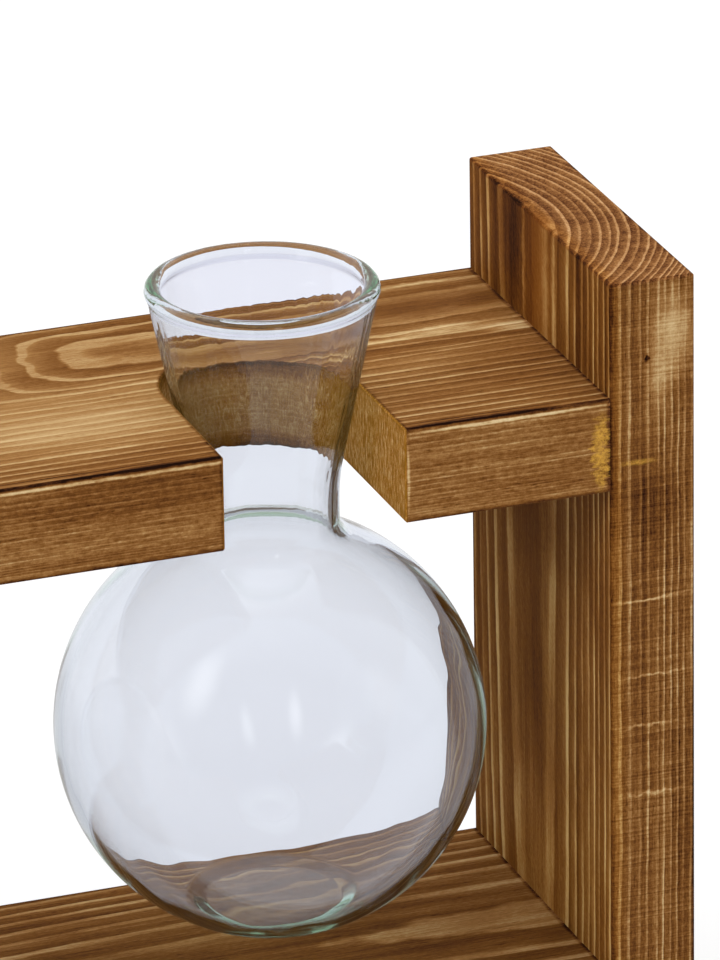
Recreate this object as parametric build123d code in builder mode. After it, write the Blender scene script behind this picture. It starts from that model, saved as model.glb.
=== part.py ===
"""Propagation vase: a torched pine stand whose slotted shelf carries blown glass bulbs by their flared necks.

Frame of the model, in millimetres: X runs along the shelf, -Y is the open front of the slots, +Z is up.
The origin is the centre of the footprint on the table.
"""

import math
import os

from build123d import *

# Pine stock: planed planks of one width, the boards a little thicker than the uprights
board_thickness = 18.3
upright_thickness = 16.5
stock_width = 72.0
edge_ease = 0.5
slot_ease = 0.3

# Layout of the frame
vase_count = 3
bulb_gap = 17.0
bulb_side_gap = 17.0
bulb_base_gap = 12.0
upright_rise = 22.0
slot_setback = 32.0
vase_setback = 27.0

# Glass vase, measured from the level at which its neck seats in the shelf
glass_wall = 1.7
bulb_radius = 40.0
foot_radius = 13.0
foot_ease = 2.5
floor_thickness = 3.0
waist_radius = 13.45
waist_drop = 3.2
shoulder_drop = 6.3
shoulder_fillet = 4.0
neck_sweep_radius = 45.0
neck_flare_deg = 12.0
rim_rise = 21.6
bead_proud = 0.24
bead_radius = 1.55
seat_clearance = 0.3

# Glued dowel joints between the boards and the uprights
dowel_radius = 3.0
dowel_length = 30.0
dowel_in_upright = 10.0
dowel_spacing = 40.0
dowel_chamfer = 0.8
dowel_clearance = 0.1
dowel_end_gap = 1.0
flute_count = 8
flute_radius = 0.4

# One overrun for every cut that passes through a face
overrun = 2.0

# Heights of the vase's features above (+) or below (-) its seat
neck_flare = math.radians(neck_flare_deg)
waist_z = -(board_thickness + waist_drop)
shoulder_z = waist_z - shoulder_drop
bulb_z = shoulder_z - math.sqrt(bulb_radius**2 - waist_radius**2)
foot_z = bulb_z - math.sqrt(bulb_radius**2 - foot_radius**2)
bead_z = rim_rise - bead_radius


def neck_radius_at(height, wall):
    """Radius of the neck's cone at a height above the seat, on its outside (wall 0) or its inside."""
    tangent_z = waist_z + (neck_sweep_radius + wall) * math.sin(neck_flare)
    tangent_radius = waist_radius + neck_sweep_radius - (neck_sweep_radius + wall) * math.cos(neck_flare)
    return tangent_radius + (height - tangent_z) * math.tan(neck_flare)


# Places worked out from the sizes above
slot_radius = neck_radius_at(0, 0) + seat_clearance
rim_radius = neck_radius_at(bead_z, 0) + bead_proud
vase_pitch = 2 * bulb_radius + bulb_gap
board_length = (vase_count - 1) * vase_pitch + 2 * (bulb_radius + bulb_side_gap)
base_top = board_thickness
shelf_top = base_top + bulb_base_gap - foot_z
shelf_bottom = shelf_top - board_thickness
upright_height = shelf_top + upright_rise
front_y = -stock_width / 2
slot_y = front_y + slot_setback
vase_y = front_y + vase_setback
vase_places = [(i - (vase_count - 1) / 2) * vase_pitch for i in range(vase_count)]
joint_heights = {"base": board_thickness / 2, "shelf": shelf_bottom + board_thickness / 2}
dowel_in_board = dowel_length - dowel_in_upright


def end_plane(side, height):
    """Plane of the joint at one end (side -1 or 1) of a board, with its normal pointing out of the board."""
    return Plane(origin=(side * board_length / 2, 0, height), x_dir=(0, 1, 0), z_dir=(side, 0, 0))


def dowel_pair():
    """The two dowel places of one joint, on its end plane."""
    return Locations((-dowel_spacing / 2, 0), (dowel_spacing / 2, 0))


def drill_dowel_holes(joint_plane, depth):
    """Cuts one joint's pair of dowel holes into the board being built, against the plane's normal."""
    with BuildSketch(joint_plane) as holes:
        with dowel_pair():
            Circle(dowel_radius + dowel_clearance)
    extrude(holes.sketch, amount=-depth, mode=Mode.SUBTRACT)


def build_base_board():
    """Lower board between the uprights, flush with their feet."""
    with BuildPart() as base_board:
        with BuildSketch(Plane.XY):
            Rectangle(board_length, stock_width)
        extrude(amount=board_thickness)
        fillet(base_board.edges().filter_by(Axis.X), edge_ease)
        for side in (-1, 1):
            drill_dowel_holes(end_plane(side, joint_heights["base"]), dowel_in_board + dowel_end_gap)
    return base_board.part


def build_holder_shelf():
    """Upper board with a round-ended slot for each vase, open at the front."""
    with BuildPart() as holder_shelf:
        with BuildSketch(Plane.XY.offset(shelf_bottom)):
            Rectangle(board_length, stock_width)
        extrude(amount=board_thickness)
        fillet(holder_shelf.edges().filter_by(Axis.X), edge_ease)
        with BuildSketch(Plane.XY.offset(shelf_bottom)):
            with Locations(*[(x, slot_y) for x in vase_places]):
                Circle(slot_radius)
            with Locations(*[(x, slot_y) for x in vase_places]):
                Rectangle(2 * slot_radius, slot_setback + overrun, align=(Align.CENTER, Align.MAX))
        extrude(amount=board_thickness, mode=Mode.SUBTRACT)
        round_ends = holder_shelf.edges().filter_by(GeomType.CIRCLE).group_by(SortBy.RADIUS)[-1]
        chamfer(round_ends, slot_ease)  # the cut runs on along the tangent slot walls to the front
        for side in (-1, 1):
            drill_dowel_holes(end_plane(side, joint_heights["shelf"]), dowel_in_board + dowel_end_gap)
    return holder_shelf.part


def build_upright(side):
    """End post from the table to above the shelf, with blind dowel holes in its inner face."""
    centre_x = side * (board_length + upright_thickness) / 2
    with BuildPart() as upright:
        with BuildSketch(Plane.XY):
            with Locations((centre_x, 0)):
                Rectangle(upright_thickness, stock_width)
        extrude(amount=upright_height)
        fillet(upright.edges(), edge_ease)
        for height in joint_heights.values():
            drill_dowel_holes(end_plane(side, height), -(dowel_in_upright + dowel_end_gap))
    return upright.part


def build_dowels(height):
    """The four fluted dowels that hold one board between the uprights."""
    with BuildPart() as dowels:
        for side in (-1, 1):
            inner_end = end_plane(side, height).offset(-dowel_in_board)
            with BuildSketch(inner_end):
                with dowel_pair():
                    Circle(dowel_radius)
            extrude(amount=dowel_length)
        chamfer(dowels.edges(), dowel_chamfer)
        for side in (-1, 1):
            with BuildSketch(end_plane(side, height).offset(-dowel_in_board)):
                with dowel_pair():
                    with PolarLocations(dowel_radius, flute_count):
                        Circle(flute_radius)
            extrude(amount=dowel_length, mode=Mode.SUBTRACT)
    return dowels.part


def draw_glass_face(wall, bottom_z):
    """Draws the half section within one skin of the glass: wall 0 gives the outside."""
    ball_radius = bulb_radius - wall
    throat_radius = waist_radius - wall
    throat_z = bulb_z + math.sqrt(ball_radius**2 - throat_radius**2)
    bottom_radius = math.sqrt(ball_radius**2 - (bottom_z - bulb_z) ** 2)
    sweep = neck_sweep_radius + wall
    flare_z = waist_z + sweep * math.sin(neck_flare)
    flare_point = (neck_radius_at(flare_z, wall), flare_z)
    with BuildLine() as outline:
        Line((0, bottom_z), (bottom_radius, bottom_z))
        ThreePointArc((bottom_radius, bottom_z), (ball_radius, bulb_z), (throat_radius, throat_z))
        Line((throat_radius, throat_z), (throat_radius, waist_z))
        TangentArc((throat_radius, waist_z), flare_point, tangent=(0, 1))
        Line(flare_point, (neck_radius_at(bead_z, wall), bead_z))
        Line((neck_radius_at(bead_z, wall), bead_z), (0, bead_z))
        Line((0, bead_z), (0, bottom_z))
    make_face(outline.edges())
    return (throat_radius, throat_z), (bottom_radius, bottom_z)


def round_corner(section, corner, radius):
    """Fillets the corner of the section that lies at these local coordinates."""
    fillet(section.vertices().sort_by_distance((*corner, 0))[0], radius)


def build_vase(x):
    """Blown bulb vase: flat foot, round bulb, waisted neck that flares into a fire-polished bead."""
    seat = Plane(origin=(x, vase_y, shelf_top), x_dir=(1, 0, 0), z_dir=(0, -1, 0))
    with BuildSketch(seat) as hollow:
        throat, bottom = draw_glass_face(glass_wall, foot_z + floor_thickness)
        round_corner(hollow, throat, shoulder_fillet + glass_wall)
        round_corner(hollow, bottom, foot_ease)
    with BuildPart() as vase:
        with BuildSketch(seat) as section:
            throat, foot = draw_glass_face(0, foot_z)
            round_corner(section, throat, shoulder_fillet)
            round_corner(section, foot, foot_ease)
            add(hollow.sketch_local, mode=Mode.SUBTRACT)
            with Locations((rim_radius - bead_radius, bead_z)):
                Circle(bead_radius)
        revolve(axis=Axis((x, vase_y, shelf_top), (0, 0, 1)))
    return vase.part


def save(part, name):
    """Labels a finished piece and writes it as its own file."""
    part.label = name
    export_step(part, f"parts/{name}.step")


os.makedirs("parts", exist_ok=True)
save(build_base_board(), "base_board")
save(build_holder_shelf(), "holder_shelf")
for upright_name, upright_side in (("left_upright", -1), ("right_upright", 1)):
    save(build_upright(upright_side), upright_name)
for board_name, board_height in joint_heights.items():
    save(build_dowels(board_height), f"{board_name}_dowels")
for vase_number, vase_x in enumerate(vase_places, start=1):
    save(build_vase(vase_x), f"glass_vase_{vase_number}")
print(f"board length {board_length:.2f}, shelf top {shelf_top:.2f}, height {upright_height:.2f}")
print(f"slot width {2 * slot_radius:.2f}, bulb centre {shelf_top + bulb_z:.2f}, rim {rim_radius:.2f}")
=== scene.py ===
import math

import bpy
from mathutils import Matrix, Vector


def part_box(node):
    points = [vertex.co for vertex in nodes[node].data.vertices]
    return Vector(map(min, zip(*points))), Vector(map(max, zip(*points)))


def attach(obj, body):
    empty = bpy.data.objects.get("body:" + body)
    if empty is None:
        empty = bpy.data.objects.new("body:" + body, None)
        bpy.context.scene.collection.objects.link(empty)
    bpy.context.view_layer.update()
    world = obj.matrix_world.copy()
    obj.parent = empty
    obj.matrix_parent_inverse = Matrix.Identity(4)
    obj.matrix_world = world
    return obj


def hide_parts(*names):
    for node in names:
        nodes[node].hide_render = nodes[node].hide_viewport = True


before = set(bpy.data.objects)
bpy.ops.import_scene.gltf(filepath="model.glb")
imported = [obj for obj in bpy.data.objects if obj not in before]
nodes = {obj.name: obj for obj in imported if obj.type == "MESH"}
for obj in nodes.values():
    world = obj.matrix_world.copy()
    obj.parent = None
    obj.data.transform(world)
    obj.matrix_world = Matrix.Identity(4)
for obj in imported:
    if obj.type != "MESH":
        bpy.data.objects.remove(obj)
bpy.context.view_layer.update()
mmPerMetre = 1000
noiseMiddle = 0.5  # what a noise gives on average
noiseLow, noiseHigh = 0.3, 0.7  # most of a noise lies between these
print("frame loaded:", ", ".join(sorted(nodes)))


def linear(hexColour):  # sRGB hex to the linear colour that sockets take
    parts = [int(hexColour[i:i + 2], 16) / 255 for i in (1, 3, 5)]
    return [c / 12.92 if c <= 0.04045 else ((c + 0.055) / 1.055) ** 2.4 for c in parts] + [1]


def addNode(tree, kind, inputs=None, stops=None, **settings):
    node = tree.nodes.new("ShaderNode" + kind)
    for name, value in settings.items():
        setattr(node, name, value)
    for socket, value in (inputs or {}).items():
        value = value.outputs[0] if isinstance(value, bpy.types.Node) else value
        if isinstance(value, bpy.types.NodeSocket):
            tree.links.new(value, node.inputs[socket])
        else:
            node.inputs[socket].default_value = value
    for i, (at, colour) in enumerate(stops or []):  # stops of a colour ramp
        band = node.color_ramp.elements
        stop = band[i] if i < 2 else band.new(at)
        stop.position = at
        stop.color = linear(colour) if isinstance(colour, str) else (colour, colour, colour, 1)
    return node


def newMaterial(name):
    material = bpy.data.materials.new(name)
    material.use_nodes = True
    material.node_tree.nodes.clear()
    return material, material.node_tree


def useMaterial(piece, material):
    piece.data.materials.clear()
    piece.data.materials.append(material)


# Torched pine: planed planks scorched with a flame, brushed and oiled. The soft early wood of each
# growth ring burns dark, the hard late wood stays pale and stands a little proud, so the eye sees
# pale lines on brown, arcs on the end grain and near-black edges, with hardly any gloss.
# Real fibres are too fine to show, so fibres, grit and pores are drawn as coarser bundles.
pine = {
    "colours": [(0.0, "#1C0D06"), (0.14, "#4A2913"), (0.34, "#734921"), (0.52, "#966C3E"),
                (0.70, "#BA9A6B"), (0.86, "#CFB589"), (1.0, "#DECA9F")],  # from burnt to barely toasted
    "endColours": [(0.0, "#1E0F08"), (0.2, "#5C341A"), (0.45, "#936438"), (0.7, "#BB8F60"),
                   (1.0, "#DDBC92")],  # the same on end grain
    "bareAndBounceColour": "#CB9A3E",  # glue-sealed wood that took no scorch
    "paintedBounceColour": "#FFF4D2",  # painted warm light: what light bounced between shelf and upright leaves of white
    "ringShape": [(0.0, 0.02), (0.12, 0.05), (0.46, 0.2), (0.67, 0.36), (0.75, 0.86), (0.94, 0.94),
                  (1.0, 0.06)],  # how pale each place in a ring is, early wood first
    "lateWood": 0.85,  # the place in a ring that lies on its radius
    "ringPower": (0.6, 1.0),  # weakest and strongest ring
    "driftLength": 33.333333, "driftAside": 3.7,  # mm of grain, and noise cells from ring to ring
    "driftPower": (0.55, 1.2),  # how far a line fades and swells along the grain
    "fibre": (12, 0.4), "fibreDepth": 0.46,  # mm along and across the grain, and share in the tone
    "streak": (90, 2.6), "streakDepth": 0.28,
    "torch": (46, 17),
    "speck": (1.1, 0.4), "speckDepth": 0.3,
    "brush": (9, 0.4), "brushDepth": 0.16, "brushTurn": 0.8,  # radians about X
    "pits": (3.0, 0.35), "pitEdge": (0.66, 0.76),  # noise at which a pit starts and is full
    "ragged": 2.857143,  # mm, unevenness of spots and burnt edges
    "raggedReach": 2.4, "neatReach": 0.5, "burnReach": 1.6,  # mm that it moves spots, neat ones and burns
    "grit": 0.625, "pore": 0.454545, "poreDepth": 0.16,  # mm, mm, share in the tone
    "teeth": (6, 0.8), "teethReach": 7,  # mm, torn ends of a bare spot
    "slotSkin": (0.45, 0.15), "sawnSkin": (0.5, 0.1),  # mm in from a face where its look starts, and is full
    "endSkin": (0.7, 0.2),
    "burnCore": 0.15,  # mm in from the edge that is wholly burnt
    "ringMean": 0.4,  # the ring tone that a sawn face leaves as it is
    "ringRelief": 0.6, "reliefStrength": 0.35, "reliefHeight": 0.0002,  # metres
    "roughness": (0.66, 0.5),  # early and late wood
    "ior": 1.45, "gloss": 0.01,
}


def spotShare(tree, place, spot):  # 1 in the middle of an egg-shaped spot, 0 outside it
    offset = addNode(tree, "VectorMath", {0: place, 1: spot["at"]}, operation="SUBTRACT")
    scaled = addNode(tree, "VectorMath", {0: offset, 1: spot["size"]}, operation="DIVIDE")
    reach = addNode(tree, "VectorMath", {0: scaled}, operation="LENGTH").outputs["Value"]
    return addNode(tree, "MapRange", {"Value": reach, "From Min": 1.0, "From Max": spot.get("core", 0.0)},
                   interpolation_type="SMOOTHSTEP")


def stretched(tree, board, vector, size):  # pattern cells this many mm along and across the grain
    along, across = size
    cells = [1 / along if g else 1 / across for g in board["grain"]]
    return addNode(tree, "VectorMath", {0: vector, 1: cells}, operation="MULTIPLY")


def growthRings(tree, board, place):  # how pale the rings are, and places that bend as they do
    grain = Vector(board["grain"])
    acrossGrain = Vector((1, 1, 1)) - grain

    # distance from the pith, bent by slow and fine waves
    along = addNode(tree, "VectorMath", {0: place, 1: grain}, operation="DOT_PRODUCT").outputs["Value"]
    pith = addNode(tree, "VectorMath", {0: along, 1: board["lean"], 2: board["pith"]},
                   operation="MULTIPLY_ADD")
    offset = addNode(tree, "VectorMath", {0: place, 1: pith}, operation="SUBTRACT")
    across = addNode(tree, "VectorMath", {0: offset, 1: acrossGrain}, operation="MULTIPLY")
    fromPith = addNode(tree, "VectorMath", {0: across}, operation="LENGTH").outputs["Value"]
    radius = fromPith
    for height, length, width in board["waves"]:
        wave = stretched(tree, board, place, (length, width))
        wave = addNode(tree, "TexNoise", {"Vector": wave, "Scale": 1.0, "Detail": 1.0})
        wave = addNode(tree, "Math", {0: wave, 1: noiseMiddle}, operation="SUBTRACT")
        radius = addNode(tree, "Math", {0: wave, 1: 2 * height, 2: radius}, operation="MULTIPLY_ADD")
    bend = addNode(tree, "Math", {0: radius, 1: fromPith}, operation="SUBTRACT")
    bentPlace = addNode(tree, "VectorMath", {0: bend, 1: acrossGrain, 2: place}, operation="MULTIPLY_ADD")
    for swell in board.get("swells", []):
        share = spotShare(tree, place, swell)
        radius = addNode(tree, "Math", {0: share, 1: swell["height"], 2: radius}, operation="MULTIPLY_ADD")

    # rings counted on their radii
    radii = board["ringRadii"]
    inner, outer, rings = radii[0], radii[-1], len(radii) - 1
    share = addNode(tree, "MapRange", {"Value": radius, "From Min": inner, "From Max": outer}, clamp=False)
    growth = addNode(tree, "FloatCurve", {"Value": share})
    curve = growth.mapping.curves[0]
    for i, r in enumerate(radii[1:-1], start=1):
        curve.points.new((r - inner) / (outer - inner), i / rings)
    for point in curve.points:
        point.handle_type = "AUTO_CLAMPED"
    growth.mapping.update()
    count = addNode(tree, "Math", {0: growth, 1: rings, 2: pine["lateWood"]}, operation="MULTIPLY_ADD")
    ring = addNode(tree, "Math", {0: count}, operation="FRACT")
    ring = addNode(tree, "ValToRGB", {"Fac": ring}, stops=pine["ringShape"])

    # each ring has a strength of its own, which drifts along the grain
    number = addNode(tree, "Math", {0: count}, operation="FLOOR")
    luck = addNode(tree, "TexWhiteNoise", {"W": number}, noise_dimensions="1D")
    power = addNode(tree, "MapRange", {"Value": luck, "To Min": pine["ringPower"][0],
                                       "To Max": pine["ringPower"][1]})
    driftAlong = addNode(tree, "Math", {0: along, 1: pine["driftLength"]}, operation="DIVIDE")
    driftAside = addNode(tree, "Math", {0: number, 1: pine["driftAside"]}, operation="MULTIPLY")
    drift = addNode(tree, "CombineXYZ", {0: driftAlong, 1: driftAside})
    drift = addNode(tree, "TexNoise", {"Vector": drift, "Scale": 1.0, "Detail": 2.0}, noise_dimensions="2D")
    drift = addNode(tree, "MapRange", {"Value": drift, "From Min": noiseLow, "From Max": noiseHigh,
                                       "To Min": pine["driftPower"][0], "To Max": pine["driftPower"][1]})
    power = addNode(tree, "Math", {0: power, 1: drift}, operation="MULTIPLY")
    ringTone = addNode(tree, "Math", {0: ring, 1: power}, operation="MULTIPLY")
    return ringTone, bentPlace


def scorchedGrain(tree, board, place, bentPlace, ringTone):  # tone of a planed face, and its fibres
    fibre = stretched(tree, board, bentPlace, pine["fibre"])
    fibre = addNode(tree, "TexNoise", {"Vector": fibre, "Scale": 1.0, "Detail": 4.0, "Roughness": 0.8})
    streak = stretched(tree, board, bentPlace, pine["streak"])
    streak = addNode(tree, "TexNoise", {"Vector": streak, "Scale": 1.0, "Detail": 1.0})
    torch = stretched(tree, board, place, pine["torch"])
    torch = addNode(tree, "TexNoise", {"Vector": torch, "Scale": 1.0, "Detail": 2.0})
    speck = stretched(tree, board, place, pine["speck"])
    speck = addNode(tree, "TexNoise", {"Vector": speck, "Scale": 1.0, "Detail": 3.0, "Roughness": 0.75})
    brush = addNode(tree, "VectorRotate", {"Vector": place, "Angle": pine["brushTurn"]},
                    rotation_type="X_AXIS")
    brush = stretched(tree, board, brush, pine["brush"])
    brush = addNode(tree, "TexNoise", {"Vector": brush, "Scale": 1.0, "Detail": 2.0})
    tone = addNode(tree, "Math", {0: ringTone, 1: board["ringDepth"], 2: board["tone"]},
                   operation="MULTIPLY_ADD")
    for pattern, depth in ((fibre, pine["fibreDepth"]), (streak, pine["streakDepth"]),
                           (torch, board["torchDepth"]), (speck, pine["speckDepth"]),
                           (brush, pine["brushDepth"])):
        centred = addNode(tree, "Math", {0: pattern, 1: noiseMiddle}, operation="SUBTRACT")
        tone = addNode(tree, "Math", {0: centred, 1: depth, 2: tone}, operation="MULTIPLY_ADD")
    pits = stretched(tree, board, place, pine["pits"])
    pits = addNode(tree, "TexNoise", {"Vector": pits, "Scale": 1.0, "Detail": 1.0})
    pits = addNode(tree, "MapRange", {"Value": pits, "From Min": pine["pitEdge"][0],
                                      "From Max": pine["pitEdge"][1]})  # short dashes
    tone = addNode(tree, "Math", {0: pits, 1: -board["pitDepth"], 2: tone}, operation="MULTIPLY_ADD")
    return tone, fibre


def placedSpots(tree, board, tone, raggedPlace, neatPlace):
    for spot in board.get("spots", []):
        share = spotShare(tree, neatPlace if spot.get("neat") else raggedPlace, spot)
        if "level" in spot:  # evens out the tone instead of shifting it
            share = addNode(tree, "Math", {0: share, 1: spot["amount"]}, operation="MULTIPLY")
            tone = addNode(tree, "Mix", {0: share, 2: tone, 3: spot["level"]}, data_type="FLOAT")
        else:
            tone = addNode(tree, "Math", {0: share, 1: spot["tone"], 2: tone}, operation="MULTIPLY_ADD")
    return tone


def facesIn(tree, board, place):  # mm in from the nearer of each pair of faces, for X, Y and Z
    low, high = [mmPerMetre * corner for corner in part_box(board["node"])]
    inset = addNode(tree, "VectorMath", {0: place, 1: (low + high) / 2}, operation="SUBTRACT")
    inset = addNode(tree, "VectorMath", {0: inset}, operation="ABSOLUTE")
    inset = addNode(tree, "VectorMath", {0: (high - low) / 2, 1: inset}, operation="SUBTRACT")
    return addNode(tree, "SeparateXYZ", {0: inset}).outputs


def slotFromAxis(tree, slot, place):  # mm out from the slot's wall, and in along its round end
    split = addNode(tree, "SeparateXYZ", {0: place})
    sideways = addNode(tree, "Math", {0: split.outputs[0], 1: -slot["pitch"] / 2, 2: slot["pitch"] / 2},
                       operation="WRAP")
    inwards = addNode(tree, "Math", {0: split.outputs[1], 1: slot["y"]}, operation="SUBTRACT")
    inwards = addNode(tree, "Math", {0: inwards, 1: 0.0}, operation="MAXIMUM")
    fromAxis = addNode(tree, "CombineXYZ", {0: sideways, 1: inwards})
    fromAxis = addNode(tree, "VectorMath", {0: fromAxis}, operation="LENGTH").outputs["Value"]
    return addNode(tree, "Math", {0: fromAxis, 1: slot["radius"]}, operation="SUBTRACT"), inwards


def slotWallTone(tree, slot, place, inwards, inZ, ringTone, fibre):  # torn across the grain, smooth along it
    fuzz = addNode(tree, "VectorMath", {0: place, 1: slot["fuzz"]}, operation="DIVIDE")
    fuzz = addNode(tree, "TexNoise", {"Vector": fuzz, "Scale": 1.0, "Detail": 5.0, "Roughness": 0.85})
    fuzz = addNode(tree, "MapRange", {"Value": fuzz, "From Min": slot["fuzzEdge"][0],
                                      "From Max": slot["fuzzEdge"][1], "To Min": slot["fuzzTone"][0],
                                      "To Max": slot["fuzzTone"][1]})
    roundEnd = addNode(tree, "MapRange", {"Value": inwards, "From Max": slot["endStart"] * slot["radius"]})
    crossing = addNode(tree, "MapRange", {"Value": roundEnd, "To Min": 1.0, "To Max": slot["endFuzz"]})
    wallTone = addNode(tree, "Math", {0: fuzz, 1: crossing, 2: slot["tone"]}, operation="MULTIPLY_ADD")
    lines = addNode(tree, "Math", {0: ringTone, 1: slot["endRings"], 2: fibre}, operation="MULTIPLY_ADD")
    lines = addNode(tree, "MapRange", {"Value": lines, "From Min": slot["lineEdge"][0],
                                       "From Max": slot["lineEdge"][1], "To Min": slot["lineTone"][0],
                                       "To Max": slot["lineTone"][1]})
    edgeDarkening = addNode(tree, "MapRange", {"Value": inZ, "From Min": slot["darkeningEdge"][0],
                                        "From Max": slot["darkeningEdge"][1], "To Max": slot["darkeningTone"]},
                     interpolation_type="SMOOTHSTEP")  # darker towards the round end's edges
    lines = addNode(tree, "Math", {0: lines, 1: edgeDarkening}, operation="ADD")
    wallTone = addNode(tree, "Math", {0: lines, 1: roundEnd, 2: wallTone}, operation="MULTIPLY_ADD")
    return wallTone, crossing


def sawnTone(tree, board, place, grit, ringTone):  # what sawing adds to the tone of a narrow face
    saw = addNode(tree, "VectorMath", {0: place, 1: board["sawMarks"]}, operation="DIVIDE")
    saw = addNode(tree, "TexNoise", {"Vector": saw, "Scale": 1.0, "Detail": 3.0, "Roughness": 0.6})
    saw = addNode(tree, "MapRange", {"Value": saw, "From Min": noiseLow, "From Max": noiseHigh,
                                     "To Min": -board["sawDepth"], "To Max": board["sawDepth"]})
    saw = addNode(tree, "Math", {0: saw, 1: board["sawTone"]}, operation="ADD")
    saw = addNode(tree, "Math", {0: grit, 1: board["sawGrit"], 2: saw}, operation="MULTIPLY_ADD")
    faded = addNode(tree, "Math", {0: ringTone, 1: pine["ringMean"]}, operation="SUBTRACT")
    fade = -board["ringDepth"] * board["sawFade"]  # sawn faces show the rings less
    return addNode(tree, "Math", {0: faded, 1: fade, 2: saw}, operation="MULTIPLY_ADD")


def endGrain(tree, board, place, endIn, tone, colour):  # speckled with cut fibres
    share = addNode(tree, "MapRange", {"Value": endIn, "From Min": pine["endSkin"][0],
                                       "From Max": pine["endSkin"][1]})
    pores = addNode(tree, "TexNoise", {"Vector": place, "Scale": 1 / pine["pore"], "Detail": 3.0,
                                       "Roughness": 0.8})
    pores = addNode(tree, "MapRange", {"Value": pores, "From Min": noiseLow, "From Max": noiseHigh,
                                       "To Min": board["endTone"] - pine["poreDepth"],
                                       "To Max": board["endTone"] + pine["poreDepth"]})
    endTone = addNode(tree, "Math", {0: tone, 1: pores}, operation="ADD")
    endColour = addNode(tree, "ValToRGB", {"Fac": endTone}, stops=pine["endColours"])
    return addNode(tree, "Mix", {0: share, 6: colour, 7: endColour}, data_type="RGBA").outputs[2]


# bare glue spots, plus painted warm light bounced between the boards
def bareAndPaintedBounce(tree, board, place, neatPlace, grit, colour):
    teeth = stretched(tree, board, place, pine["teeth"])
    teeth = addNode(tree, "TexNoise", {"Vector": teeth, "Scale": 1.0, "Detail": 4.0})
    teeth = addNode(tree, "Math", {0: teeth, 1: noiseMiddle}, operation="SUBTRACT")
    reach = pine["teethReach"] * Vector(board["grain"])
    tornPlace = addNode(tree, "VectorMath", {0: teeth, 1: reach, 2: place}, operation="MULTIPLY_ADD")
    # glue-sealed bare spots, and an amber spot that is painted warm bounce light
    for bareAndBounce in board.get("bareAndBounce", []):
        share = spotShare(tree, neatPlace if bareAndBounce.get("neat") else tornPlace, bareAndBounce)
        worn = addNode(tree, "Math", {0: grit, 1: bareAndBounce.get("wear", 0.0), 2: bareAndBounce["amount"]},
                       operation="MULTIPLY_ADD")
        share = addNode(tree, "Math", {0: share, 1: worn}, operation="MULTIPLY", use_clamp=True)
        bareAndBounceColour = linear(bareAndBounce.get("colour", pine["bareAndBounceColour"]))
        colour = addNode(tree, "Mix", {0: share, 6: colour, 7: bareAndBounceColour}, data_type="RGBA").outputs[2]
    # painted warm light: multiplies in the tint of light bounced between shelf and upright
    for paintedBounce in board.get("paintedBounce", []):
        share = spotShare(tree, place, paintedBounce)
        share = addNode(tree, "Math", {0: share, 1: paintedBounce["amount"]}, operation="MULTIPLY")
        colour = addNode(tree, "Mix", {0: share, 6: colour, 7: linear(pine["paintedBounceColour"])},
                         data_type="RGBA", blend_type="MULTIPLY").outputs[2]
    return colour


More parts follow.
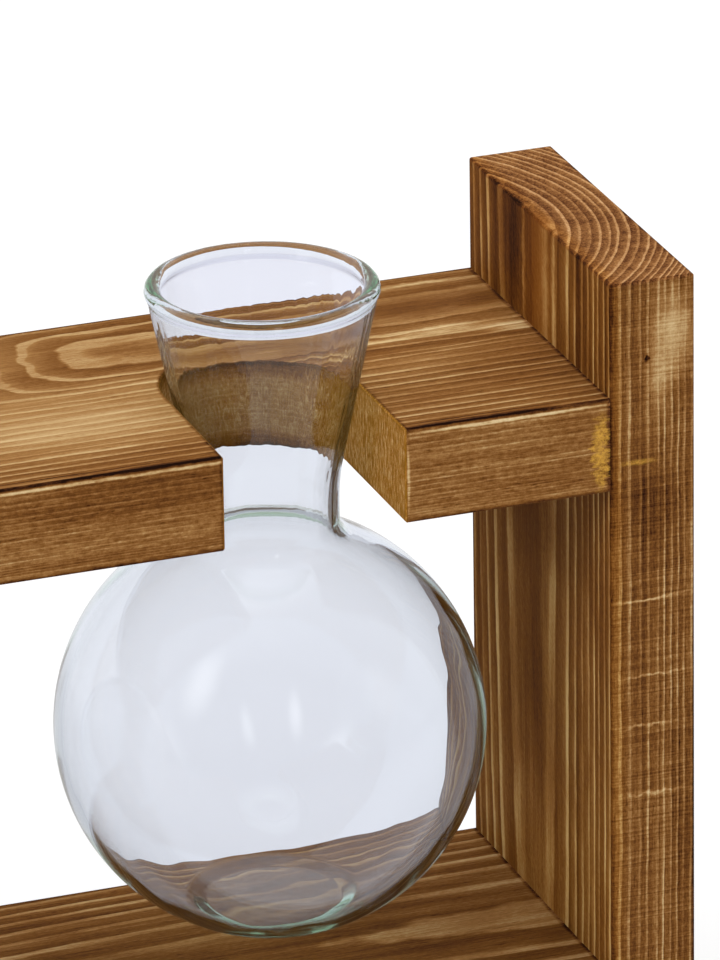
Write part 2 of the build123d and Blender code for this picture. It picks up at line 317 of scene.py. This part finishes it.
def torchedPine(board):
    material, tree = newMaterial(board["finish"])
    coords = addNode(tree, "TexCoord")
    place = addNode(tree, "VectorMath", {0: coords.outputs["Object"], 1: [mmPerMetre] * 3},
                    operation="MULTIPLY")
    ragged = addNode(tree, "TexNoise", {"Vector": place, "Scale": 1 / pine["ragged"], "Detail": 3.0})
    ragged = addNode(tree, "VectorMath", {0: ragged.outputs["Color"], 1: [noiseMiddle] * 3},
                     operation="SUBTRACT")
    raggedPlace = addNode(tree, "VectorMath", {0: ragged, 1: [pine["raggedReach"]] * 3, 2: place},
                          operation="MULTIPLY_ADD")
    neatPlace = addNode(tree, "VectorMath", {0: ragged, 1: [pine["neatReach"]] * 3, 2: place},
                        operation="MULTIPLY_ADD")
    grit = addNode(tree, "TexNoise", {"Vector": place, "Scale": 1 / pine["grit"], "Detail": 3.0,
                                      "Roughness": 0.8})
    grit = addNode(tree, "Math", {0: grit, 1: noiseMiddle}, operation="SUBTRACT")  # torn fibres

    ringTone, bentPlace = growthRings(tree, board, place)
    tone, fibre = scorchedGrain(tree, board, place, bentPlace, ringTone)
    tone = placedSpots(tree, board, tone, raggedPlace, neatPlace)

    # the second nearest pair of faces is the nearest edge, and a slot's wall is one more face
    inX, inY, inZ = facesIn(tree, board, place)
    nearer = addNode(tree, "Math", {0: inX, 1: inY}, operation="MINIMUM")
    farther = addNode(tree, "Math", {0: inX, 1: inY}, operation="MAXIMUM")
    second = addNode(tree, "Math", {0: farther, 1: inZ}, operation="MINIMUM")
    edge = addNode(tree, "Math", {0: nearer, 1: second}, operation="MAXIMUM")
    slot = board.get("slot")
    if slot:
        fromSlot, inwards = slotFromAxis(tree, slot, place)
        lowest = addNode(tree, "Math", {0: nearer, 1: inZ}, operation="MINIMUM")
        rim = addNode(tree, "Math", {0: fromSlot, 1: lowest}, operation="MAXIMUM")
        edge = addNode(tree, "Math", {0: edge, 1: rim}, operation="MINIMUM")
        wall = addNode(tree, "MapRange", {"Value": fromSlot, "From Min": pine["slotSkin"][0],
                                          "From Max": pine["slotSkin"][1]})
        wallTone, crossing = slotWallTone(tree, slot, place, inwards, inZ, ringTone, fibre)
        tone = addNode(tree, "Mix", {0: wall, 2: tone, 3: wallTone}, data_type="FLOAT")
    sawn = addNode(tree, "MapRange", {"Value": inY, "From Min": pine["sawnSkin"][0],
                                      "From Max": pine["sawnSkin"][1]})
    added = sawnTone(tree, board, place, grit, ringTone)
    tone = addNode(tree, "Math", {0: added, 1: sawn, 2: tone}, operation="MULTIPLY_ADD")

    # burnt edges, of uneven width
    edge = addNode(tree, "Math", {0: ragged, 1: pine["burnReach"], 2: edge}, operation="MULTIPLY_ADD")
    burn = addNode(tree, "MapRange", {"Value": edge, "From Min": board["burnWidth"],
                                      "From Max": pine["burnCore"]}, interpolation_type="SMOOTHSTEP")
    tone = addNode(tree, "Math", {0: burn, 1: -board["burnDepth"], 2: tone}, operation="MULTIPLY_ADD")

    colour = addNode(tree, "ValToRGB", {"Fac": tone}, stops=pine["colours"])
    endIn = (inX, inY, inZ)[board["grain"].index(1)]
    colour = endGrain(tree, board, place, endIn, tone, colour)
    if slot:
        share = addNode(tree, "Math", {0: wall, 1: slot["goldShare"]}, operation="MULTIPLY")
        share = addNode(tree, "Math", {0: share, 1: crossing}, operation="MULTIPLY")
        colour = addNode(tree, "Mix", {0: share, 6: colour, 7: linear(slot["gold"])},
                         data_type="RGBA").outputs[2]
    colour = bareAndPaintedBounce(tree, board, place, neatPlace, grit, colour)

    relief = addNode(tree, "Math", {0: ringTone, 1: pine["ringRelief"], 2: fibre}, operation="MULTIPLY_ADD")
    relief = addNode(tree, "Bump", {"Height": relief, "Strength": pine["reliefStrength"],
                                    "Distance": pine["reliefHeight"]})
    roughness = addNode(tree, "MapRange", {"Value": ringTone, "To Min": pine["roughness"][0],
                                           "To Max": pine["roughness"][1]})
    surface = addNode(tree, "BsdfPrincipled", {"Base Color": colour, "Roughness": roughness,
                                               "Normal": relief, "IOR": pine["ior"],
                                               "Specular IOR Level": pine["gloss"]})
    addNode(tree, "OutputMaterial", {"Surface": surface})
    useMaterial(nodes[board["node"]], material)


# Places, sizes, radii, waves and saw marks are in mm, and a lean is mm for each mm along the grain.
rightUpright = {
    "node": "right_upright",
    "finish": "torchedPineRightUpright",
    "grain": (0, 0, 1),
    "pith": (113.9, 4.05, 0), "lean": (0.0143, 0.0125, 0),
    "ringRadii": [36.0, 40.5, 43.1, 45.05, 47.0, 48.9, 50.7, 52.2, 54.2, 55.9, 57.8, 59.1, 60.6, 61.7,
                  63.2, 64.1, 65.2, 66.2, 67.2, 68.4],  # one for each pale line
    "waves": [(0.5, 90, 30), (0.22, 18, 7), (0.12, 6, 2.5)],  # high, long and wide
    "tone": 0.21, "ringDepth": 0.49, "torchDepth": 0.24, "pitDepth": 0.14,
    "sawMarks": (25, 3.333333, 0.333333),
    "sawDepth": 0.09, "sawTone": 0.02, "sawFade": 0.22, "sawGrit": 0.36,
    "burnWidth": 0.8, "burnDepth": 0.18, "endTone": 0.04,
    "spots": [
        {"at": (166.2, -36, 145), "size": (6, 4, 13), "level": 0.76, "amount": 0.8},  # pale patch in front
        {"at": (163.6, -36, 137), "size": (3.5, 4, 10), "level": 0.74, "amount": 0.6},
        {"at": (162, -36, 113), "size": (12, 3, 15), "tone": -0.12},  # darker below it
        {"at": (161.3, -36, 140.3), "size": (0.75, 1.5, 0.85), "core": 0.4, "tone": -0.5},  # small knot
        {"at": (162, -36, 93.1), "size": (12, 2, 0.45), "tone": 0.34},  # saw marks
        {"at": (162, -36, 77.8), "size": (11, 2, 0.45), "tone": 0.28},
        {"at": (162, -36, 67.8), "size": (11, 2, 0.5), "tone": 0.28},
        {"at": (163, -36, 54.1), "size": (10, 2, 0.5), "tone": 0.28},
        {"at": (154, 14, 146), "size": (3, 6.5, 26), "tone": -0.15},  # bands of the inner face
        {"at": (154, 0.5, 146), "size": (3, 9, 34), "tone": 0.12},
        {"at": (154, -3.5, 146), "size": (3, 3, 34), "tone": 0.26},
        {"at": (154, 3.6, 146), "size": (3, 1.4, 34), "tone": -0.1},
        {"at": (154, 7.6, 146), "size": (3, 1.5, 28), "tone": 0.24},
        {"at": (154, -7.4, 146), "size": (3, 1.5, 28), "tone": 0.24},
        {"at": (154, 4, 66), "size": (3, 13, 55), "tone": -0.09},
        {"at": (154, 0, 55), "size": (3, 70, 75), "core": 0.5, "tone": 0.09},  # painted light: lighter low on the inner face, under the shelf, where it lies in shade
    ],
    "bareAndBounce": [
        {"at": (159.4, -36, 120.4), "size": (5.0, 2, 0.8), "amount": 0.5, "neat": True,
         "wear": 2.0},  # smear of glue
        {"at": (154, -1, 146), "size": (3, 11, 40), "amount": 0.3, "neat": True,
         "colour": "#84480A"},  # painted warm bounce light: an amber tint on the inner face, lit by the shelf
    ],
    "paintedBounce": [{"at": (154, 0, 78), "size": (4, 80, 160), "core": 0.6, "amount": 0.9}],  # painted warm light bounced between shelf and upright, on the inner face
}
leftUpright = {
    "node": "left_upright",
    "finish": "torchedPineLeftUpright",
    "grain": (0, 0, 1),
    "pith": (-121, -9, 0), "lean": (-0.01, 0.012, 0),
    "ringRadii": [26 + 2.1 * i for i in range(20)],
    "waves": [(0.7, 90, 30), (0.22, 18, 7), (0.12, 6, 2.5)],
    "tone": 0.21, "ringDepth": 0.49, "torchDepth": 0.3, "pitDepth": 0.14,
    "sawMarks": (25, 3.333333, 0.333333),
    "sawDepth": 0.09, "sawTone": 0.02, "sawFade": 0.22, "sawGrit": 0.36,
    "burnWidth": 0.8, "burnDepth": 0.18, "endTone": 0.04,
}
holderShelf = {
    "node": "holder_shelf",
    "finish": "torchedPineShelf",
    "grain": (1, 0, 0),
    "pith": (0, 20, 33.6), "lean": (0, 0, 0),
    "ringRadii": [82.4 + 1.1 * i for i in range(16)] + [
        100.18, 100.62, 101.07, 101.45, 102.08, 102.46, 103.2, 104.1, 104.9, 105.8, 106.6, 107.6, 108.6,
        109.6, 110.8, 111.8, 113.0, 114.2, 115.4],
    "waves": [(0.16, 60, 25), (0.12, 15, 5), (0.04, 5, 2)],
    "swells": [{"at": (40, 20, 133), "size": (36, 22, 60), "height": 1.56},  # closes the loops at its right
               {"at": (-8, 25, 133), "size": (46, 20, 60), "height": 0.8}],
    "tone": 0.3, "ringDepth": 0.38, "torchDepth": 0.2, "pitDepth": 0.16,
    "sawMarks": (2, 3.333333, 0.769231),
    "sawDepth": 0.07, "sawTone": -0.02, "sawFade": 0.5, "sawGrit": 0.3,
    "burnWidth": 1.0, "burnDepth": 0.24, "endTone": 0.0,
    "slot": {
        "pitch": 97, "y": -4, "radius": 17.31,
        "tone": 0.64, "gold": "#AE7724", "goldShare": 0.5,
        "fuzz": (0.384615, 0.384615, 2.5),  # torn fibres, mm wide, deep and high
        "fuzzEdge": (0.36, 0.64), "fuzzTone": (-0.9, 0.42),
        "endStart": 0.7, "endFuzz": 0.22, "endRings": 0.5,  # the round end runs along the grain
        "lineEdge": (0.4, 1.0), "lineTone": (-0.08, 0.03),
        "darkeningEdge": (4.5, 0.5), "darkeningTone": -0.3,  # mm in from the top and bottom
    },
    "spots": [
        {"at": (55, -8, 134), "size": (70, 28, 6), "tone": 0.2},  # lighter and darker stretches of the top
        {"at": (66, -16, 134), "size": (30, 12, 6), "tone": 0.08},
        {"at": (152, -22, 134), "size": (38, 16, 6), "tone": -0.08},
        {"at": (142, 21.6, 134), "size": (26, 9, 6), "tone": -0.2},
        {"at": (136, 22, 134), "size": (34, 13, 6), "level": 0.36, "amount": 0.4},
        {"at": (132, -5, 134), "size": (28, 9, 6), "tone": 0.08},
        {"at": (35, 24, 134), "size": (60, 17, 6), "level": 0.64, "amount": 0.6},
        {"at": (55, -8, 134), "size": (52, 26, 6), "level": 0.66, "amount": 0.48},
        {"at": (122, 6.2, 134), "size": (14, 1.8, 4), "tone": 0.3},  # wide pale band towards the upright
        {"at": (138, 7.6, 134), "size": (16, 4, 4), "tone": 0.34},
        {"at": (151, 5.2, 134), "size": (9, 3.8, 4), "tone": 0.28},
        {"at": (140, 31.8, 134), "size": (18, 1.3, 4), "tone": 0.24},
        {"at": (68, -35.3, 133.6), "size": (24, 0.9, 0.8), "core": 0.4, "tone": -0.32,
         "neat": True},  # deep burn along the front edge
        {"at": (127, -35.3, 133.6), "size": (20, 0.9, 0.8), "core": 0.4, "tone": -0.38, "neat": True},
        {"at": (50, -33.9, 133.6), "size": (40, 0.35, 0.8), "tone": -0.3, "neat": True},  # grooves beside it
        {"at": (128, -33.9, 133.6), "size": (30, 0.35, 0.8), "tone": -0.3, "neat": True},
        {"at": (60, -36, 132.6), "size": (60, 0.6, 0.5), "core": 0.3, "tone": 0.4,
         "neat": True},  # pale line under it
        {"at": (135, -36, 132.6), "size": (28, 0.6, 0.5), "core": 0.3, "tone": 0.45, "neat": True},
        {"at": (60, -36, 129.5), "size": (44, 2, 5), "tone": -0.08},
        {"at": (114.5, -36, 124), "size": (0.9, 1.2, 11), "core": 0.4, "tone": 0.4,
         "neat": True},  # pale corner of the slot
    ],
    "bareAndBounce": [{"at": (152.1, -36, 123.4), "size": (2.0, 2, 8.6), "core": 0.6, "amount": 0.5,
              "wear": 2.4}],  # glue that came out of the joint
}
baseBoard = {
    "node": "base_board",
    "finish": "torchedPineBase",
    "grain": (1, 0, 0),
    "pith": (0, -6, -48), "lean": (0, 0.01, 0.012),
    "ringRadii": [46 + 1.7 * i for i in range(30)],
    "waves": [(0.6, 90, 30), (0.12, 7, 3)],
    "tone": 0.29, "ringDepth": 0.38, "torchDepth": 0.26, "pitDepth": 0.16,
    "sawMarks": (2, 3.333333, 0.769231),
    "sawDepth": 0.07, "sawTone": -0.02, "sawFade": 0.5, "sawGrit": 0.3,
    "burnWidth": 1.0, "burnDepth": 0.24, "endTone": 0.0,
}
for board in (rightUpright, leftUpright, holderShelf, baseBoard):
    torchedPine(board)
print("torched pine boards finished")


# Beech dowels: turned, fluted and left bare, so they are pale with short darker flecks.
dowel = {
    "finish": "turnedBeech", "pale": "#D9B98C", "dark": "#B98F5F", "roughness": 0.65,
    "fleckLength": 3.0, "fleckWidth": 0.4,  # mm
    "fleckEdge": (0.35, 0.55),  # noise that is wholly dark, and wholly pale
}


def turnedBeech():
    material, tree = newMaterial(dowel["finish"])
    coords = addNode(tree, "TexCoord")
    size = (dowel["fleckLength"], dowel["fleckWidth"], dowel["fleckWidth"])
    place = addNode(tree, "VectorMath", {0: coords.outputs["Object"], 1: [mmPerMetre / s for s in size]},
                    operation="MULTIPLY")
    fleck = addNode(tree, "TexNoise", {"Vector": place, "Scale": 1.0, "Detail": 2.0})
    darkAt, paleAt = dowel["fleckEdge"]
    stops = [(darkAt, dowel["dark"]), (paleAt, dowel["pale"])]
    colour = addNode(tree, "ValToRGB", {"Fac": fleck}, stops=stops)
    surface = addNode(tree, "BsdfPrincipled", {"Base Color": colour, "Roughness": dowel["roughness"]})
    addNode(tree, "OutputMaterial", {"Surface": surface})
    for name in ("base_dowels", "shelf_dowels"):
        useMaterial(nodes[name], material)


turnedBeech()
print("beech dowels finished")


# Blown soda-lime glass, clear with a faint green in its thickness and a fire-polished lip. It bends
# what stands behind it, and blowing leaves faint ripples that make its highlights waver.
vase = {
    "finish": "blownSodaLimeGlass",
    "places": (-97, 0, 97), "y": -9, "seat": 133.6,  # mm in the part's frame
    "bulbRadius": 39.97, "wall": 1.7, "waistRadius": 13.45,
    "bulbZ": -65.471, "footZ": -103.28, "waistZ": -21.5, "floor": 3.0,  # heights from the seat
    "footEase": 2.5, "shoulderFillet": 4.0, "sweepRadius": 45.0, "flare": math.radians(12),
    "beadZ": 20.05, "beadRadius": 1.55, "rimRadius": 21.516, "lipBlend": (1.0, 1.5),  # outside and inside
    "turns": 192, "arcParts": 4,  # steps round the vase, and the fewest along an arc of its profile
    "step": 0.9, "leastStep": 0.01,  # mm between the points of the profile
    "weld": 0.002,  # mm within which the lathe joins points
    "tint": "#FEFEFE", "depthColour": "#8FE3B0", "depthPerMetre": 22.0, "ior": 1.5,
    "ripple": (11.1111, 11.1111, 33.3333), "rib": (2.08333, 2.08333, 83.3333),  # mm wide, deep and high
    "ribStart": (-32, -20), "ribDepth": 0.45,  # ribs come in between these heights and run up the neck
    "reliefStrength": 0.25, "reliefHeight": 0.0006,  # metres
    "lastBounce": 10,  # light trapped in the wall then leaves it, and draws no dark line at the shoulder
}


def arcPoints(centre, radius, start, end):  # angles in radians, from the X axis towards Z
    count = max(vase["arcParts"], math.ceil(abs(end - start) * radius / vase["step"]))
    turn = [start + (end - start) * i / count for i in range(count + 1)]
    return [(centre[0] + radius * math.cos(a), centre[1] + radius * math.sin(a)) for a in turn]


def bulbSide(wall, bottomZ):  # foot, bulb, shoulder and neck of one skin, up to the lip's blend
    ball, throat = vase["bulbRadius"] - wall, vase["waistRadius"] - wall
    ease, fillet, sweep = vase["footEase"], vase["shoulderFillet"] + wall, vase["sweepRadius"] + wall
    footIn = bottomZ + ease - vase["bulbZ"]
    footCentre = (math.sqrt((ball - ease) ** 2 - footIn ** 2), bottomZ + ease)
    footTurn = math.atan2(footIn, footCentre[0])
    neckUp = math.sqrt((ball + fillet) ** 2 - (throat + fillet) ** 2)
    neckCentre = (throat + fillet, vase["bulbZ"] + neckUp)
    neckTurn = math.atan2(neckUp, throat + fillet)
    points = [(0, bottomZ), (footCentre[0] / 2, bottomZ)]
    points += arcPoints(footCentre, ease, -math.pi / 2, footTurn)
    points += arcPoints((0, vase["bulbZ"]), ball, footTurn, neckTurn)
    points += arcPoints(neckCentre, fillet, neckTurn + math.pi, math.pi)[1:]
    points += arcPoints((throat + sweep, vase["waistZ"]), sweep, math.pi, math.pi - vase["flare"])
    return points


def lipCorner(skinEnd, side, blend):  # where a blend of this radius joins the wall to the bead
    upward = Vector((math.sin(vase["flare"]), math.cos(vase["flare"])))
    outward = Vector((upward.y, -upward.x)) * side
    bead = Vector((vase["rimRadius"] - vase["beadRadius"], vase["beadZ"]))
    depth = (Vector(skinEnd) - bead).dot(outward)  # from the bead's centre out to the wall's skin
    drop = math.sqrt((vase["beadRadius"] + blend) ** 2 - (depth + blend) ** 2)
    centre = bead + outward * (depth + blend) - upward * drop
    onWall, onBead = -outward, bead - centre
    wallTurn = math.atan2(onWall.y, onWall.x)
    beadTurn = math.atan2(onBead.y, onBead.x)
    beadTurn += math.tau * round((wallTurn - beadTurn) / math.tau)
    points = arcPoints(centre, blend, wallTurn, beadTurn)
    return points, bead, math.atan2(-onBead.y, -onBead.x)


def vaseProfile():
    outside = bulbSide(0, vase["footZ"])
    inside = bulbSide(vase["wall"], vase["footZ"] + vase["floor"])
    outer, bead, outerTurn = lipCorner(outside[-1], 1, vase["lipBlend"][0])
    inner, bead, innerTurn = lipCorner(inside[-1], -1, vase["lipBlend"][1])
    innerTurn += math.tau if innerTurn < outerTurn else 0
    lip = arcPoints(bead, vase["beadRadius"], outerTurn, innerTurn)
    line = outside + outer + lip[1:-1] + inner[::-1] + inside[::-1]
    kept = [line[0]]
    for point in line[1:]:
        if math.dist(point, kept[-1]) > vase["leastStep"]:
            kept.append(point)
    return kept


def blownGlass():
    material, tree = newMaterial(vase["finish"])
    coords = addNode(tree, "TexCoord")
    place = addNode(tree, "VectorMath", {0: coords.outputs["Object"], 1: [mmPerMetre] * 3},
                    operation="MULTIPLY")
    ripple = addNode(tree, "VectorMath", {0: place, 1: vase["ripple"]}, operation="DIVIDE")
    ripple = addNode(tree, "TexNoise", {"Vector": ripple, "Scale": 1.0, "Detail": 1.0})
    rib = addNode(tree, "VectorMath", {0: place, 1: vase["rib"]}, operation="DIVIDE")
    rib = addNode(tree, "TexNoise", {"Vector": rib, "Scale": 1.0, "Detail": 1.0})
    height = addNode(tree, "SeparateXYZ", {0: place}).outputs[2]
    onNeck = addNode(tree, "MapRange", {"Value": height, "From Min": vase["ribStart"][0],
                                        "From Max": vase["ribStart"][1], "To Max": vase["ribDepth"]})
    relief = addNode(tree, "Math", {0: rib, 1: onNeck, 2: ripple}, operation="MULTIPLY_ADD")
    relief = addNode(tree, "Bump", {"Height": relief, "Strength": vase["reliefStrength"],
                                    "Distance": vase["reliefHeight"]})
    glass = addNode(tree, "BsdfPrincipled", {"Base Color": linear(vase["tint"]), "Roughness": 0.0,
                                             "IOR": vase["ior"], "Transmission Weight": 1.0,
                                             "Normal": relief})
    passing = addNode(tree, "BsdfTransparent", {"Color": linear(vase["tint"])})
    path = addNode(tree, "LightPath")
    trapped = addNode(tree, "Math", {0: path.outputs["Ray Depth"], 1: vase["lastBounce"]},
                      operation="GREATER_THAN")
    share = addNode(tree, "Math", {0: path.outputs["Is Shadow Ray"], 1: trapped}, operation="MAXIMUM")
    surface = addNode(tree, "MixShader", {0: share, 1: glass, 2: passing})
    depth = addNode(tree, "VolumeAbsorption", {"Color": linear(vase["depthColour"]),
                                               "Density": vase["depthPerMetre"]})
    addNode(tree, "OutputMaterial", {"Surface": surface, "Volume": depth})
    return material


def latheVase(number, x, glass):
    profile = [(r / mmPerMetre, 0, z / mmPerMetre) for r, z in vaseProfile()]
    mesh = bpy.data.meshes.new(f"blownVase{number}")
    mesh.from_pydata(profile, [(i, i + 1) for i in range(len(profile) - 1)], [])
    piece = bpy.data.objects.new(f"blownVase{number}", mesh)
    bpy.context.scene.collection.objects.link(piece)
    piece.location = (x / mmPerMetre, vase["y"] / mmPerMetre, vase["seat"] / mmPerMetre)
    lathe = piece.modifiers.new("lathe", "SCREW")
    lathe.axis = "Z"
    lathe.steps = lathe.render_steps = vase["turns"]
    lathe.use_merge_vertices = True
    lathe.merge_threshold = vase["weld"] / mmPerMetre
    lathe.use_smooth_shade = True
    lathe.use_normal_calculate = True
    useMaterial(piece, glass)
    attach(piece, f"vase_{number}")
    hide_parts(f"glass_vase_{number}")


glass = blownGlass()
for number, x in enumerate(vase["places"], start=1):
    latheVase(number, x, glass)
print("blown vases turned")


# White studio: the floor and the world are white to the eye, and the floor keeps the soft shadow.
studio = {
    "floorSize": 8.0, "floorColour": "#F4F4F4", "floorGlow": 0.74, "glow": 1.08,
    "throughGlass": "#E4E4F6",  # the paper's own cool white, which shows through the glass
    "worldLight": 0.58,
    "frontMirror": 0.15, "backMirror": 1.0, "mirrorReach": 0.5,  # a dim room in front, white paper behind
    "lamps": [  # name, place in metres, width, height, watts, share of it that glass mirrors
        ("keySoftbox", (-1.3, -0.65, 1.25), 0.8, 1.7, 24, 0.1),
        ("stripSoftbox", (-0.06, -1.9, 1.0), 0.35, 1.3, 5, 0.16),
        ("topSoftbox", (0.1, 0.4, 2.1), 2.4, 1.8, 30, 0.1),
        ("fillSoftbox", (1.7, -1.3, 0.9), 1.2, 1.6, 6, 0.2),
    ],
    "lampAim": (0.1, 0, 0.08),
    "lampMiddle": (0.5, 0.5, 0), "lampFade": (0.5, 0.05), "lampPeak": 2.5,  # brightest in the middle
    "bounces": 24,
}


def rayShares(tree):  # what the eye sees, also through glass; what glass mirrors once; the paper's colour
    path = addNode(tree, "LightPath")
    seen = addNode(tree, "Math", {0: path.outputs["Is Camera Ray"], 1: path.outputs["Is Transmission Ray"]},
                   operation="ADD", use_clamp=True)
    mirrored = addNode(tree, "Math", {0: path.outputs["Glossy Depth"], 1: 1.0, 2: 0.5}, operation="COMPARE")
    seen = addNode(tree, "Math", {0: seen, 1: mirrored}, operation="SUBTRACT", use_clamp=True)
    colour = addNode(tree, "Mix", {0: path.outputs["Is Transmission Ray"], 6: (1, 1, 1, 1),
                                   7: linear(studio["throughGlass"])}, data_type="RGBA").outputs[2]
    return seen, mirrored, colour


def mirrorGlow(tree, place):
    back = addNode(tree, "SeparateXYZ", {0: place}).outputs[1]
    return addNode(tree, "MapRange", {"Value": back, "From Min": -studio["mirrorReach"],
                                      "From Max": studio["mirrorReach"],
                                      "To Min": studio["frontMirror"], "To Max": studio["backMirror"]})


def paperFloor():
    material, tree = newMaterial("whitePaperFloor")
    seen, mirrored, colour = rayShares(tree)
    share = addNode(tree, "Math", {0: seen, 1: studio["floorGlow"], 2: mirrored}, operation="MULTIPLY_ADD")
    mirror = mirrorGlow(tree, addNode(tree, "TexCoord").outputs["Object"])
    glow = addNode(tree, "Mix", {0: mirrored, 2: studio["glow"], 3: mirror}, data_type="FLOAT")
    glow = addNode(tree, "Emission", {"Color": colour, "Strength": glow})
    paper = addNode(tree, "BsdfDiffuse", {"Color": linear(studio["floorColour"])})
    surface = addNode(tree, "MixShader", {0: share, 1: paper, 2: glow})
    addNode(tree, "OutputMaterial", {"Surface": surface})
    bpy.ops.mesh.primitive_plane_add(size=studio["floorSize"])
    floor = bpy.context.object
    floor.name = "floor"
    useMaterial(floor, material)


def whiteWorld():
    world = bpy.data.worlds.new("whiteStudio")
    world.use_nodes = True
    bpy.context.scene.world = world
    tree = world.node_tree
    tree.nodes.clear()
    seen, mirrored, colour = rayShares(tree)
    mirror = mirrorGlow(tree, addNode(tree, "TexCoord").outputs["Generated"])
    strength = addNode(tree, "Mix", {0: mirrored, 2: studio["worldLight"], 3: mirror}, data_type="FLOAT")
    strength = addNode(tree, "Mix", {0: seen, 2: strength, 3: 1.0}, data_type="FLOAT")
    sky = addNode(tree, "Background", {"Color": colour, "Strength": strength})
    addNode(tree, "OutputWorld", {"Surface": sky})


def softbox(name, at, width, height, watts, mirrorShare):
    data = bpy.data.lights.new(name, "AREA")
    data.shape = "RECTANGLE"
    data.size, data.size_y = width, height
    data.energy = watts
    data.use_nodes = True
    tree = data.node_tree
    tree.nodes.clear()
    spread = addNode(tree, "NewGeometry").outputs["Parametric"]
    spread = addNode(tree, "VectorMath", {0: spread, 1: studio["lampMiddle"]}, operation="DISTANCE")
    spread = addNode(tree, "MapRange", {"Value": spread.outputs["Value"], "From Min": studio["lampFade"][0],
                                        "From Max": studio["lampFade"][1], "To Max": studio["lampPeak"]},
                     interpolation_type="SMOOTHSTEP")
    mirrors = addNode(tree, "LightPath").outputs["Glossy Depth"]
    dim = addNode(tree, "MapRange", {"Value": mirrors, "To Min": 1.0, "To Max": mirrorShare})
    spread = addNode(tree, "Math", {0: spread, 1: dim}, operation="MULTIPLY")
    glow = addNode(tree, "Emission", {"Strength": spread})
    addNode(tree, "OutputLight", {"Surface": glow})
    lamp = bpy.data.objects.new(name, data)
    lamp.location = at
    aim = Vector(studio["lampAim"]) - Vector(at)
    lamp.rotation_euler = aim.to_track_quat("-Z", "Y").to_euler()
    bpy.context.scene.collection.objects.link(lamp)


paperFloor()
whiteWorld()
for lampSettings in studio["lamps"]:
    softbox(*lampSettings)
cycles = bpy.context.scene.cycles
cycles.max_bounces = studio["bounces"]
cycles.glossy_bounces = studio["bounces"]
cycles.transmission_bounces = studio["bounces"]
print("studio lit")


# Long lens from the front left, above the shelf, on the right end of the stand.
view = {
    "at": (-0.45142, -1.58189, 0.79923), "pitch": 0.38928, "yaw": 0.34583, "roll": -0.0145,  # metres, radians
    "lens": 369.855, "sensorWidth": 36,  # mm
    "clipEnd": 50,
}
cameraData = bpy.data.cameras.new("longLens")
cameraData.lens = view["lens"]
cameraData.sensor_width = view["sensorWidth"]
cameraData.clip_end = view["clipEnd"]
camera = bpy.data.objects.new("longLens", cameraData)
turned = Matrix.Rotation(-view["yaw"], 4, "Z") @ Matrix.Rotation(math.pi / 2 - view["pitch"], 4, "X")
camera.matrix_world = Matrix.Translation(view["at"]) @ turned @ Matrix.Rotation(view["roll"], 4, "Z")
bpy.context.scene.collection.objects.link(camera)
bpy.context.scene.camera = camera
bpy.context.scene.view_settings.view_transform = "Standard"
print("camera placed")
